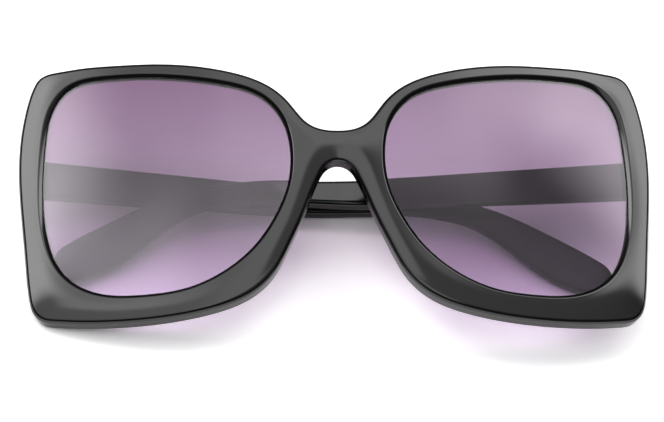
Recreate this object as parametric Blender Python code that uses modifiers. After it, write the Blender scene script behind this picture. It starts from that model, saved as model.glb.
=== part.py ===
"""Square sunglasses, folded and laid on a table with the lenses up.

The pieces are modelled with the front upright: X to the viewer's right, Y from the front
towards the wearer, Z up, and zero at the middle of the front, level with the lens centres.
Left and right are the viewer's. Lengths are in metres and angles in degrees.
"""

import math

import bmesh
import bpy
import numpy as np
from mathutils import Matrix, Vector
from mathutils.geometry import intersect_point_tri

# Front
LENS_WIDTH = 0.0601
LENS_HEIGHT = 0.0587
BRIDGE_WIDTH = 0.0208
RIM_SIDE = 0.0054
RIM_TOP = 0.0032
RIM_BOTTOM = 0.006
FRONT_THICKNESS = 0.0048
WRAP_RADIUS = 0.288
OUTER_EDGE_FALL = 0.0008
LENS_EDGE_FALL = 0.0004
EDGE_FALL_WIDTH = 0.0025
OUTER_EDGE_RADIUS = 0.0012
LENS_EDGE_RADIUS = 0.0005
BACK_EDGE_RADIUS = 0.0007

# Lenses and the grooves that hold them
LENS_THICKNESS = 0.0018
LENS_BULGE = 0.0006
GROOVE_LIP = 0.0007
GROOVE_DEPTH = 0.0009
GROOVE_SETBACK = 0.0026
LENS_CLEARANCE = 0.0001
LENS_EDGE_CLEARANCE = 0.0002

# Nose pads
PAD_LENGTH = 0.015
PAD_WIDTH = 0.0046
PAD_REACH = 0.0042
PAD_INSET = 0.0005
PAD_BELOW_CENTRE = 0.0166
PAD_LEAN = 22.5
GLUE_GAP = 0.0001

# Hinges
HINGE_ABOVE_CENTRE = 0.0062
HINGE_INSET = 0.0029
BARREL_RADIUS = 0.0011
SCREW_RADIUS = 0.0005
SCREW_HEAD_RADIUS = 0.0009
SCREW_HEAD_HEIGHT = 0.0004
SCREW_SLOT = 0.0003
KNUCKLE_HEIGHT = 0.0011
KNUCKLE_COUNT = 5
LEAF_THICKNESS = 0.0007
FRONT_LEAF_SHIFT = 0.0002
FRONT_LEAF_DEPTH = 0.0022
TEMPLE_LEAF_SHIFT = 0.00035
TEMPLE_LEAF_LENGTH = 0.0055
HINGE_CLEARANCE = 0.00012
STOP_HEIGHT = 0.0094
STOP_INSET = 0.0005
STOP_BEVEL = 0.0003
BUTT_CLEARANCE = 0.0002
PANTOSCOPIC_TILT = 3.0

# Temples
TEMPLE_REACH = 0.135
TEMPLE_HEIGHT = 0.0093
TEMPLE_THICKNESS = 0.0038
TEMPLE_BOW = 0.0083
TEMPLE_DROP = 0.0246
TEMPLE_EDGE_RADIUS = 0.0012
TEMPLE_PAST_AXIS = 0.0011
TIP_THICKNESS_SHARE = 0.4
FOLD_TURN = 1.7
FOLD_GAP = 0.0003
CORE_RADIUS = 0.0006
CORE_END_COVER = 0.012

# Cutters run past the surfaces that they cut by this much
OVERRUN = 0.001

# Mesh resolution. A curve's points stand closer in its bends: a radian of bend takes as many
# of them as this length
BEND_SPACING = 0.02
OUTLINE_STEPS = 76
BRIDGE_STEPS = 4
FACE_STEPS = 4
CURVE_SAMPLES = 1600
LENS_STEPS = 64
LENS_RINGS = 4
TEMPLE_STEPS = 34
TEMPLE_CORNER_STEPS = 3
TIP_STEPS = 4
CORE_STEPS = 18
PAD_SEGMENTS = 20
PAD_RINGS = 12
CYLINDER_SIDES = 24
WRAPPED_POINTS = 4
SHARP_ANGLE = 35.0
WELD_DISTANCE = 0.000001

# Lens opening, as shares of half its width and half its height from its centre
LENS_OUTLINE_SHARES = [
    (1.0, 0.18), (0.984, 0.49), (0.911, 0.796), (0.768, 0.952), (0.5, 1.0), (0.169, 0.991),
    (-0.162, 0.949), (-0.489, 0.878), (-0.76, 0.76), (-0.925, 0.556), (-0.997, 0.25),
    (-0.97, -0.08), (-0.877, -0.333), (-0.704, -0.612), (-0.462, -0.828), (-0.165, -0.963),
    (0.169, -1.0), (0.44, -0.98), (0.66, -0.893), (0.83, -0.726), (0.938, -0.48), (0.99, -0.18),
]

# Right half of the front's outline from the top of the bridge round to the nose arch, as
# shares of its half width and of its height above or below the lens centres
FRONT_OUTLINE_SHARES = [
    (0.0, 0.382), (0.049, 0.395), (0.087, 0.44), (0.118, 0.522), (0.154, 0.64), (0.199, 0.742),
    (0.273, 0.839), (0.348, 0.898), (0.459, 0.955), (0.574, 0.986), (0.702, 0.998),
    (0.8, 1.0), (0.878, 0.987), (0.919, 0.972), (0.942, 0.94), (0.96, 0.869), (0.98, 0.71),
    (0.995, 0.494), (1.0, 0.223), (0.995, 0.0), (0.986, -0.2), (0.971, -0.501),
    (0.955, -0.777), (0.937, -0.888), (0.909, -0.938), (0.876, -0.957), (0.81, -0.978),
    (0.662, -0.998), (0.513, -0.983), (0.392, -0.938), (0.289, -0.858), (0.239, -0.782),
    (0.2, -0.685), (0.153, -0.487), (0.108, -0.264), (0.078, -0.092), (0.059, 0.006),
    (0.041, 0.08), (0.022, 0.115), (0.0, 0.127),
]

# Temple from its butt to its tip, as shares of its reach, bow, drop, height and thickness
TEMPLE_SHARES = [
    (0.0, 0.0, 0.0, 1.006, 1.0),
    (0.05, 0.117, 0.0, 0.988, 0.985),
    (0.12, 0.278, 0.0, 0.963, 0.961),
    (0.25, 0.571, 0.0, 0.913, 0.902),
    (0.4, 0.89, 0.0, 0.834, 0.863),
    (0.52, 1.0, 0.0, 0.741, 0.843),
    (0.6, 0.944, -0.008, 0.673, 0.83),
    (0.66, 0.839, -0.04, 0.626, 0.824),
    (0.72, 0.738, -0.112, 0.605, 0.818),
    (0.78, 0.663, -0.229, 0.676, 0.812),
    (0.84, 0.605, -0.434, 0.896, 0.806),
    (0.9, 0.552, -0.68, 1.111, 0.8),
    (0.95, 0.508, -0.852, 1.083, 0.77),
    (1.0, 0.464, -1.0, 0.851, 0.74),
]

half_front = BRIDGE_WIDTH / 2 + LENS_WIDTH + RIM_SIDE
front_top = LENS_HEIGHT / 2 + RIM_TOP
front_bottom = LENS_HEIGHT / 2 + RIM_BOTTOM
lens_centre = np.array([BRIDGE_WIDTH / 2 + LENS_WIDTH / 2, 0.0])


def spline(knots, values, at):
    """The natural cubic spline through values at knots, read at the places in at."""
    step = np.diff(knots)
    slope = np.diff(values, axis=0) / step[:, None]
    matrix = np.eye(len(knots))
    right = np.zeros_like(values)
    for i in range(1, len(knots) - 1):
        matrix[i, i - 1 : i + 2] = step[i - 1], 2 * (step[i - 1] + step[i]), step[i]
        right[i] = 6 * (slope[i] - slope[i - 1])
    bend = np.linalg.solve(matrix, right)
    i = np.clip(np.searchsorted(knots, at) - 1, 0, len(step) - 1)
    gap = step[i, None]
    after = (np.asarray(at) - knots[i])[:, None] / gap
    before = 1 - after
    curve = (before**3 - before) * bend[i] + (after**3 - after) * bend[i + 1]
    return before * values[i] + after * values[i + 1] + curve * gap**2 / 6


def lengths_along(points):
    """The distance along the points up to each of them."""
    return np.concatenate([[0.0], np.cumsum(np.linalg.norm(np.diff(points, axis=0), axis=1))])


def closed_curve(points, count):
    """count points, closer in the bends, on a smooth closed curve that starts at the first."""
    ring = np.concatenate([points[-WRAPPED_POINTS:], points, points[: WRAPPED_POINTS + 1]])
    knots = lengths_along(ring)
    start, end = knots[WRAPPED_POINTS], knots[-1 - WRAPPED_POINTS]
    dense = spline(knots, ring, np.linspace(start, end, CURVE_SAMPLES))
    headings = np.unwrap(np.arctan2(*np.diff(dense, axis=0).T[::-1]))
    bends = np.abs(np.diff(headings, prepend=headings[0], append=headings[-1]))
    along = lengths_along(dense) + BEND_SPACING * np.cumsum(bends)
    wanted = np.linspace(0.0, along[-1], count + 1)[:-1]
    return np.column_stack([np.interp(wanted, along, column) for column in dense.T])


def outward_normals(loop, inside):
    """Unit normals in the plane of a closed loop of points, pointing away from inside."""
    along = np.roll(loop, -1, axis=0) - np.roll(loop, 1, axis=0)
    normals = np.column_stack([along[:, 1], -along[:, 0]])
    normals /= np.linalg.norm(normals, axis=1)[:, None]
    turn = np.sign(((loop - inside) * normals).sum())
    return normals * turn


def at_angles(loop, angles):
    """What a closed loop of rows [x, z, ...] holds at these angles round the lens centre."""
    offset = loop[:, :2] - lens_centre
    own = np.arctan2(offset[:, 1], offset[:, 0])
    return np.column_stack([np.interp(angles, own, c, period=2 * math.pi) for c in loop.T])


def lens_loop(count):
    """The right lens opening as a closed curve."""
    half_size = np.array([LENS_WIDTH, LENS_HEIGHT]) / 2
    return closed_curve(lens_centre + np.array(LENS_OUTLINE_SHARES) * half_size, count)


def lens_opening(angles):
    """Points on the lens opening at these angles round its centre, and their normals."""
    loop = lens_loop(CURVE_SAMPLES)
    found = at_angles(np.hstack([loop, outward_normals(loop, lens_centre)]), angles)
    return found[:, :2], found[:, 2:]


def outline_loop(count):
    """The front's whole outline, from the top of the bridge round by the right."""
    shares = np.array(FRONT_OUTLINE_SHARES)
    height = np.where(shares[:, 1] > 0, front_top, front_bottom)
    half = np.column_stack([shares[:, 0] * half_front, shares[:, 1] * height])
    return closed_curve(np.concatenate([half, half[-2:0:-1] * [-1, 1]]), count)


def front_outline():
    """The right half of the front's outline, down to the nose arch, and its normals."""
    whole = outline_loop(2 * OUTLINE_STEPS)
    normals = outward_normals(whole, np.zeros(2))
    points, normals = whole[: OUTLINE_STEPS + 1], normals[: OUTLINE_STEPS + 1]
    points[[0, -1], 0] = 0.0
    normals[0], normals[-1] = (0.0, 1.0), (0.0, -1.0)
    return points, normals


def fall_edges():
    """The edges that the front's face falls back beside: rows [x, z, weight] along them all."""
    lens = lens_loop(CURVE_SAMPLES)
    rows = []
    for edge, fall in (
        (outline_loop(CURVE_SAMPLES), OUTER_EDGE_FALL),
        (lens, LENS_EDGE_FALL),
        (lens * [-1, 1], LENS_EDGE_FALL),
    ):
        step = np.linalg.norm(np.roll(edge, -1, axis=0) - edge, axis=1)
        rows.append(np.column_stack([edge, step * fall / (2 * EDGE_FALL_WIDTH)]))
    return np.concatenate(rows)


def face_fall(points, edges):
    """How far the front's face falls back at these places: most beside its edges."""
    apart = np.linalg.norm(points[:, None] - edges[:, :2], axis=2)
    return np.exp(-apart / EDGE_FALL_WIDTH) @ edges[:, 2]


def wrapped(flat, depth):
    """Places on the curved front: flat holds x along its face and z, depth is from its face."""
    flat = np.asarray(flat, float)
    angle = flat[..., 0] / WRAP_RADIUS
    radius = WRAP_RADIUS - depth
    across, back = radius * np.sin(angle), WRAP_RADIUS - radius * np.cos(angle)
    return np.stack([across, back, flat[..., 1]], -1)


def collection(name):
    made = bpy.data.collections.new(name)
    bpy.context.scene.collection.children.link(made)
    return made


def material(name, colour, roughness, metallic=0.0, transmission=0.0):
    made = bpy.data.materials.new(name)
    made.use_nodes = True
    made.diffuse_color = (*colour, 1.0)
    shader = made.node_tree.nodes["Principled BSDF"]
    shader.inputs["Base Color"].default_value = (*colour, 1.0)
    shader.inputs["Roughness"].default_value = roughness
    shader.inputs["Metallic"].default_value = metallic
    shader.inputs["Transmission Weight"].default_value = transmission
    return made


def object_of(name, mesh, where, finish=None, parent=None):
    """A new object of the mesh in a collection, with its material and parent."""
    made = bpy.data.objects.new(name, mesh)
    where.objects.link(made)
    made.parent = parent
    if finish:
        mesh.materials.append(finish)
        mesh.shade_smooth()
        mesh.set_sharp_from_angle(angle=math.radians(SHARP_ANGLE))
    return made


def mesh_of(bm, name):
    """The bmesh as a mesh whose faces point out."""
    bmesh.ops.recalc_face_normals(bm, faces=bm.faces)
    mesh = bpy.data.meshes.new(name)
    bm.to_mesh(mesh)
    bm.free()
    return mesh


def box(name, low, high, bevel=0.0):
    """A box between two corners, with its edges rounded by bevel."""
    bm = bmesh.new()
    low, high = np.minimum(low, high), np.maximum(low, high)
    middle = Matrix.Translation((low + high) / 2)
    bmesh.ops.create_cube(bm, size=1.0, matrix=middle @ Matrix.Diagonal((*(high - low), 1.0)))
    if bevel:
        bmesh.ops.bevel(bm, geom=bm.edges, offset=bevel, segments=2, profile=0.5, affect="EDGES")
    return mesh_of(bm, name)


def cylinder(name, radius, low, high):
    """A cylinder about Z between two heights."""
    bm = bmesh.new()
    middle = Matrix.Translation((0.0, 0.0, (low + high) / 2))
    bmesh.ops.create_cone(
        bm, cap_ends=True, segments=CYLINDER_SIDES, radius1=radius, radius2=radius,
        depth=high - low, matrix=middle,
    )
    return mesh_of(bm, name)


def cut_or_join(piece, operation, *others):
    """A Boolean of each other object, which stays in the file as a guide."""
    for other in others:
        other.hide_render = True
        other.display_type = "WIRE"
        modifier = piece.modifiers.new(other.name, "BOOLEAN")
        modifier.operation = operation
        modifier.object = other


def loft(name, rings):
    """A closed body through rings of points, capped at its two ends."""
    bm = bmesh.new()
    rows = [[bm.verts.new(point) for point in ring] for ring in rings]
    for row, after in zip(rows, rows[1:]):
        for i in range(len(row)):
            j = (i + 1) % len(row)
            bm.faces.new((row[i], row[j], after[j], after[i]))
    bm.faces.new(rows[0])
    bm.faces.new(rows[-1])
    return mesh_of(bm, name)


def front_mesh():
    """The right half of the front: a section carried round the lens opening, open at x = 0."""
    outline, outline_normals = front_outline()
    cut = np.linspace(outline[-1], outline[0], BRIDGE_STEPS + 1)[1:-1]
    outer = np.concatenate([outline, cut])
    outer_normals = np.concatenate([outline_normals, np.zeros_like(cut)])
    angles = np.arctan2(*(outer - lens_centre).T[::-1])
    inner, inner_normals = lens_opening(angles)
    edges = fall_edges()

    bm = bmesh.new()
    rows = []
    for near, out, far, away in zip(inner, inner_normals, outer, outer_normals):
        flat, depth = front_section(near, out, far, away, edges)
        rows.append([bm.verts.new(point) for point in wrapped(flat, depth)])
    wall = range(*wall_span())
    for i, row in enumerate(rows):
        after = rows[(i + 1) % len(rows)]
        for k in range(len(row)):
            if i >= OUTLINE_STEPS and k in wall:
                continue
            j = (k + 1) % len(row)
            bm.faces.new((row[k], row[j], after[j], after[k]))
    loose = [vertex for vertex in bm.verts if not vertex.link_faces]
    bmesh.ops.delete(bm, geom=loose, context="VERTS")
    return mesh_of(bm, "front_frame")


def quarter_turn(steps):
    """Shares of a quarter circle's rise and run: from its start to its end."""
    turn = np.linspace(0.0, math.pi / 2, steps + 1)
    return 1 - np.cos(turn), np.sin(turn)


def wall_span():
    """Which sides of the front's section lie on its outer wall."""
    start = 2 + FACE_STEPS
    return start, start + 5


def front_section(near, out, far, away, edges):
    """The section from the lens edge, near, to the outline, far: places in the face, depths."""
    start = near + out * LENS_EDGE_RADIUS
    end = far - away * OUTER_EDGE_RADIUS
    face = start + (end - start) * np.linspace(0.0, 1.0, FACE_STEPS + 1)[:, None]
    fall = face_fall(face, edges)
    back_start = near + out * BACK_EDGE_RADIUS
    back_end = far - away * BACK_EDGE_RADIUS
    groove_front = GROOVE_SETBACK - LENS_THICKNESS / 2 - LENS_CLEARANCE
    groove_back = GROOVE_SETBACK + LENS_THICKNESS / 2 + LENS_CLEARANCE
    lip = near - out * GROOVE_LIP
    groove_floor = lip + out * GROOVE_DEPTH
    rise, run = quarter_turn(2)

    flat = [near, near + out * LENS_EDGE_RADIUS * rise[1]]
    depth = [fall[0] + LENS_EDGE_RADIUS, fall[0] + LENS_EDGE_RADIUS * (1 - run[1])]
    flat += list(face)
    depth += list(fall)
    for i in (1, 2):
        flat.append(end + away * OUTER_EDGE_RADIUS * run[i])
        depth.append(fall[-1] + OUTER_EDGE_RADIUS * rise[i])
    for i in (0, 1, 2):
        flat.append(far + (back_end - far) * rise[i])
        depth.append(FRONT_THICKNESS - BACK_EDGE_RADIUS * (1 - run[i]))
    for i in (2, 1, 0):
        flat.append(near + (back_start - near) * rise[i])
        depth.append(FRONT_THICKNESS - BACK_EDGE_RADIUS * (1 - run[i]))
    flat += [lip, groove_floor, groove_floor, lip]
    depth += [groove_back, groove_back, groove_front, groove_front]
    return np.array(flat), np.array(depth)


def lens_mesh():
    """The right lens, which bulges forward a little and whose edge sits in the groove."""
    edge = lens_loop(LENS_STEPS)
    reach = GROOVE_DEPTH - LENS_EDGE_CLEARANCE - GROOVE_LIP
    edge = edge + outward_normals(edge, lens_centre) * reach
    bm = bmesh.new()
    shares = np.linspace(1.0, 0.0, LENS_RINGS + 1)[:-1]
    faces = []
    for surface in (-1, 1):
        middle_depth = GROOVE_SETBACK + surface * LENS_THICKNESS / 2
        rings = []
        for share in shares:
            flat = lens_centre + (edge - lens_centre) * share
            depth = middle_depth - LENS_BULGE * (1 - share**2)
            rings.append([bm.verts.new(place) for place in wrapped(flat, depth)])
        tip = bm.verts.new(wrapped(lens_centre, middle_depth - LENS_BULGE))
        faces.append((rings, tip))
    for i in range(LENS_STEPS):
        j = (i + 1) % LENS_STEPS
        for rings, tip in faces:
            for ring, inner in zip(rings, rings[1:]):
                bm.faces.new((ring[i], ring[j], inner[j], inner[i]))
            bm.faces.new((rings[-1][i], rings[-1][j], tip))
        front_edge, back_edge = faces[0][0][0], faces[1][0][0]
        bm.faces.new((front_edge[i], front_edge[j], back_edge[j], back_edge[i]))
    return mesh_of(bm, "lens")


def nose_pad_mesh():
    """The right nose pad: half an ellipsoid, flat against the back of the front by the nose."""
    outline, normals = front_outline()
    lowest = np.argmin(outline[:, 1])
    level = lowest + np.argmin(np.abs(outline[lowest:, 1] + PAD_BELOW_CENTRE))
    middle = outline[level] - normals[level] * (PAD_WIDTH / 2 + PAD_INSET)
    place = wrapped(middle, FRONT_THICKNESS + GLUE_GAP)
    bm = bmesh.new()
    bmesh.ops.create_uvsphere(bm, u_segments=PAD_SEGMENTS, v_segments=PAD_RINGS, radius=1.0)
    size = Matrix.Diagonal((PAD_WIDTH / 2, PAD_REACH, PAD_LENGTH / 2, 1.0))
    bm.transform(size)
    bmesh.ops.bisect_plane(
        bm, geom=bm.verts[:] + bm.edges[:] + bm.faces[:], plane_co=(0.0, 0.0, 0.0),
        plane_no=(0.0, -1.0, 0.0), clear_outer=True,
    )
    bmesh.ops.holes_fill(bm, edges=[edge for edge in bm.edges if edge.is_boundary])
    lean = Matrix.Rotation(-math.radians(PAD_LEAN), 4, "Y")
    turn = Matrix.Rotation(middle[0] / WRAP_RADIUS, 4, "Z")
    bm.transform(Matrix.Translation(place) @ turn @ lean)
    bm.normal_update()
    return mesh_of(bm, "nose_pad")


# The hinge frame has Z up its axis, X outwards from the bridge and Y towards the wearer.
# Nothing but the knuckles comes nearer to the axis than the barrel's reach
barrel_reach = BARREL_RADIUS + HINGE_CLEARANCE
stack_height = KNUCKLE_COUNT * KNUCKLE_HEIGHT + (KNUCKLE_COUNT - 1) * HINGE_CLEARANCE


def hinge_place():
    """The hinge axis in the front's frame: inboard of its back edge and clear of its back."""
    across = wrapped((half_front, 0.0), FRONT_THICKNESS)[0] - HINGE_INSET
    back_radius = WRAP_RADIUS - FRONT_THICKNESS
    back = WRAP_RADIUS - math.sqrt(back_radius**2 - (across + barrel_reach) ** 2)
    return Vector((across, back + barrel_reach, HINGE_ABOVE_CENTRE))


def knuckle_span(index):
    low = -stack_height / 2 + index * (KNUCKLE_HEIGHT + HINGE_CLEARANCE)
    return low, low + KNUCKLE_HEIGHT


def hinge_frame(side, name, turn):
    """An empty on a hinge axis, turned about it by an angle in degrees."""
    empty = bpy.data.objects.new(name, None)
    parts.objects.link(empty)
    empty.parent = stand
    place = hinge_place()
    tilt = Matrix.Rotation(-math.radians(PANTOSCOPIC_TILT), 4, "X")
    fold = Matrix.Rotation(math.radians(turn), 4, "Z")
    place.x *= side
    empty.matrix_local = Matrix.Translation(place) @ tilt @ fold
    return empty


def sided(mesh, side):
    """The mesh for the right side, or mirrored for the left."""
    if side < 0:
        mesh.transform(Matrix.Diagonal((-1.0, 1.0, 1.0, 1.0)))
        mesh.flip_normals()
    return mesh


def temple_stop(side, parent):
    """The block on the back of the front that the open temple's butt comes up to."""
    outboard = TEMPLE_THICKNESS - TEMPLE_PAST_AXIS - STOP_INSET
    low = (barrel_reach, -barrel_reach - FRONT_THICKNESS / 2, -STOP_HEIGHT / 2)
    high = (outboard, barrel_reach - BUTT_CLEARANCE, STOP_HEIGHT / 2)
    mesh = sided(box("temple_stop", low, high, STOP_BEVEL), side)
    return object_of(f"temple_stop_{label(side)}", mesh, guides, parent=parent)


def leaf(side, name, parent, first, plate_low, plate_high, arm_low, arm_high):
    """A hinge leaf: its plate, and every second knuckle from the first on an arm from it."""
    body = object_of(name, sided(box(name, plate_low, plate_high), side), parts, steel, parent)
    joined = []
    for index in range(first, KNUCKLE_COUNT, 2):
        low, high = knuckle_span(index)
        barrel = cylinder("barrel", BARREL_RADIUS, low, high)
        arm = box("arm", (*arm_low, low), (*arm_high, high))
        for kind, mesh in (("barrel", barrel), ("arm", arm)):
            made = object_of(f"{name}_{kind}_{index}", sided(mesh, side), guides, parent=parent)
            joined.append(made)
    bore = cylinder("bore", SCREW_RADIUS + HINGE_CLEARANCE, -stack_height, stack_height)
    hole = object_of(f"{name}_bore", sided(bore, side), guides, parent=parent)
    cut_or_join(body, "UNION", *joined)
    cut_or_join(body, "DIFFERENCE", hole)
    return body


def front_leaf_plate(clearance=0.0):
    """Low and high corners of the front leaf's plate, sunk edgeways in the front's back."""
    half = stack_height / 2 + clearance
    low = (FRONT_LEAF_SHIFT - clearance, -barrel_reach - FRONT_LEAF_DEPTH - clearance, -half)
    return low, (FRONT_LEAF_SHIFT + LEAF_THICKNESS + clearance, -barrel_reach, half)


def temple_leaf_plate(clearance=0.0):
    """Low and high corners of the temple leaf's plate, sunk in the folded temple's butt."""
    half = stack_height / 2 + clearance
    deepest = -barrel_reach - TEMPLE_LEAF_LENGTH - clearance
    outer = TEMPLE_LEAF_SHIFT + LEAF_THICKNESS + clearance
    return (deepest, TEMPLE_LEAF_SHIFT - clearance, -half), (-barrel_reach, outer, half)


def label(side):
    return "right" if side > 0 else "left"


def temple_path(shares):
    """Rows [x, y, z, height, thickness] of a folded right temple at shares of its reach."""
    table = np.array(TEMPLE_SHARES)
    bow, drop, height, thickness = spline(table[:, 0], table[:, 1:], shares).T
    thickness = thickness * TEMPLE_THICKNESS
    return np.column_stack([
        -shares * TEMPLE_REACH - barrel_reach,
        bow * TEMPLE_BOW + thickness / 2 - TEMPLE_PAST_AXIS,
        drop * TEMPLE_DROP,
        height * TEMPLE_HEIGHT,
        thickness,
    ])


def fold_turn(side):
    """The angle that a folded temple turns past square. The right one folds first. The left
    one then folds until FOLD_GAP is left between them in the nearest place where they cross."""
    if side > 0:
        return FOLD_TURN
    right = temple_path(np.linspace(0.0, 1.0, CURVE_SAMPLES))
    from_left = right[:, 0] + 2 * hinge_place().x - barrel_reach
    crossing = (from_left > 0.0) & (from_left < TEMPLE_REACH)
    right = right[crossing]
    left = temple_path(from_left[crossing] / TEMPLE_REACH)
    apart = np.abs(right[:, 2] - left[:, 2]) - (right[:, 3] + left[:, 3]) / 2
    outer = right[:, 1] + right[:, 4] / 2 + right[:, 0] * math.tan(math.radians(FOLD_TURN))
    inner = left[:, 1] - left[:, 4] / 2
    slopes = (outer + FOLD_GAP - inner) / -left[:, 0]
    meeting = apart < -TEMPLE_EDGE_RADIUS
    return math.degrees(math.atan(slopes[meeting].max(initial=0.0)))


def rounded_section(height, thickness, radius):
    """A rectangle with round corners, as rows [across the thickness, up the height]."""
    corners = []
    reach = np.array([thickness, height]) / 2 - radius
    for turn, signs in enumerate([(1, 1), (-1, 1), (-1, -1), (1, -1)]):
        angles = (turn + np.linspace(0.0, 1.0, TEMPLE_CORNER_STEPS + 1)) * math.pi / 2
        arc = radius * np.column_stack([np.cos(angles), np.sin(angles)])
        corners.append(reach * signs + arc)
    return np.concatenate(corners)


def temple_mesh():
    """The temple's section carried along its path, which ends in a rounded tip."""
    tip_radius = TEMPLE_SHARES[-1][3] * TEMPLE_HEIGHT / 2
    tip_start = 1 - tip_radius / TEMPLE_REACH
    turn = np.linspace(0.0, math.pi / 2, TIP_STEPS + 2)[1:-1]
    tip_shares = tip_start + np.sin(turn) * (1 - tip_start)
    shares = np.concatenate([np.linspace(0.0, tip_start, TEMPLE_STEPS), tip_shares])
    rounding = np.concatenate([np.ones(TEMPLE_STEPS), np.cos(turn)])
    path = temple_path(shares)
    heading = np.gradient(path[:, :3], path[:, 0], axis=0)
    heading /= -np.linalg.norm(heading, axis=1)[:, None]
    rings = []
    for row, ahead, share in zip(path, heading, rounding):
        slim = TIP_THICKNESS_SHARE + (1 - TIP_THICKNESS_SHARE) * share
        radius = TEMPLE_EDGE_RADIUS * share * slim
        section = rounded_section(row[3] * share, row[4] * slim, radius)
        across = np.array([-ahead[1], ahead[0], 0.0])
        across /= np.linalg.norm(across)
        up = np.cross(ahead, across)
        rings.append(row[:3] + section[:, :1] * across + section[:, 1:] * up)
    return loft("temple", rings)


def tube(name, points, radius):
    """A round wire through the points, as a mesh with welded caps."""
    curve = bpy.data.curves.new(name, "CURVE")
    curve.dimensions = "3D"
    curve.bevel_depth = radius
    curve.bevel_resolution = 1
    curve.use_fill_caps = True
    line = curve.splines.new("POLY")
    line.points.add(len(points) - 1)
    for point, place in zip(line.points, points):
        point.co = (*place, 1.0)
    source = bpy.data.objects.new(name, curve)
    guides.objects.link(source)
    graph = bpy.context.evaluated_depsgraph_get()
    mesh = bpy.data.meshes.new_from_object(source.evaluated_get(graph))
    bpy.data.objects.remove(source)
    bpy.data.curves.remove(curve)
    bm = bmesh.new()
    bm.from_mesh(mesh)
    bmesh.ops.remove_doubles(bm, verts=bm.verts, dist=WELD_DISTANCE)
    bpy.data.meshes.remove(mesh)
    return mesh_of(bm, name)


def core_points(start, end):
    """The wire core's line in the temple's middle, between two distances from the butt."""
    shares = np.linspace(start, end, CORE_STEPS) / TEMPLE_REACH
    return temple_path(shares)[:, :3]


def build_front():
    front = object_of("front_frame", front_mesh(), parts, black, stand)
    mirror = front.modifiers.new("Mirror", "MIRROR")
    mirror.merge_threshold = WELD_DISTANCE
    for side in (1, -1):
        frame = hinge_frame(side, f"hinge_seat_{label(side)}", 0.0)
        cut_or_join(front, "UNION", temple_stop(side, frame))
        low, high = front_leaf_plate(HINGE_CLEARANCE)
        slot = sided(box("slot", low, (high[0], high[1] + OVERRUN, high[2])), side)
        slot = object_of(f"front_slot_{label(side)}", slot, guides, parent=frame)
        cut_or_join(front, "DIFFERENCE", slot)
        build_hinge(side, frame)
        object_of(f"lens_{label(side)}", sided(lens_mesh(), side), parts, tinted, stand)
        object_of(f"nose_pad_{label(side)}", sided(nose_pad_mesh(), side), parts, clear, stand)


def build_hinge(side, frame):
    """The front leaf and the screw of one hinge."""
    low, high = front_leaf_plate()
    arm_low = (low[0], high[1] - LEAF_THICKNESS)
    leaf(side, f"hinge_front_leaf_{label(side)}", frame, 0, low, high, arm_low, (high[0], 0.0))
    name = f"hinge_screw_{label(side)}"
    top = stack_height / 2 + HINGE_CLEARANCE
    shank = cylinder(name, SCREW_RADIUS, -stack_height / 2, top + SCREW_HEAD_HEIGHT / 2)
    screw = object_of(name, shank, parts, steel, frame)
    head = cylinder("head", SCREW_HEAD_RADIUS, top, top + SCREW_HEAD_HEIGHT)
    half_slot = np.array([SCREW_HEAD_RADIUS * 2, SCREW_SLOT / 2, SCREW_HEAD_HEIGHT / 2])
    middle = np.array([0.0, 0.0, top + SCREW_HEAD_HEIGHT])
    slot = box("slot", middle - half_slot, middle + half_slot)
    cut_or_join(screw, "UNION", object_of(f"{name}_head", head, guides, parent=frame))
    cut_or_join(screw, "DIFFERENCE", object_of(f"{name}_slot", slot, guides, parent=frame))


def build_temple(side):
    """One temple with its wire core and hinge leaf, folded behind the front."""
    frame = hinge_frame(side, f"hinge_axis_{label(side)}", fold_turn(side))
    name = f"temple_{label(side)}"
    temple = object_of(name, sided(temple_mesh(), side), parts, black, frame)
    low, high = temple_leaf_plate(HINGE_CLEARANCE)
    pocket = box("pocket", low, (high[0] + OVERRUN, high[1], high[2]))
    core_start = TEMPLE_LEAF_LENGTH + HINGE_CLEARANCE
    core_end = TEMPLE_REACH - CORE_END_COVER
    bore_line = core_points(core_start - OVERRUN, core_end + HINGE_CLEARANCE)
    bore = tube("bore", bore_line, CORE_RADIUS + HINGE_CLEARANCE)
    for kind, mesh in (("pocket", pocket), ("bore", bore)):
        cutter = object_of(f"{name}_{kind}", sided(mesh, side), guides, parent=frame)
        cut_or_join(temple, "DIFFERENCE", cutter)
    core_line = core_points(core_start + HINGE_CLEARANCE, core_end)
    wire = tube("core", core_line, CORE_RADIUS)
    object_of(f"temple_core_{label(side)}", sided(wire, side), parts, steel, frame)
    low, high = temple_leaf_plate()
    arm_low = (high[0] - LEAF_THICKNESS, low[1])
    leaf(side, f"hinge_temple_leaf_{label(side)}", frame, 1, low, high, arm_low, (0.0, high[1]))


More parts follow.
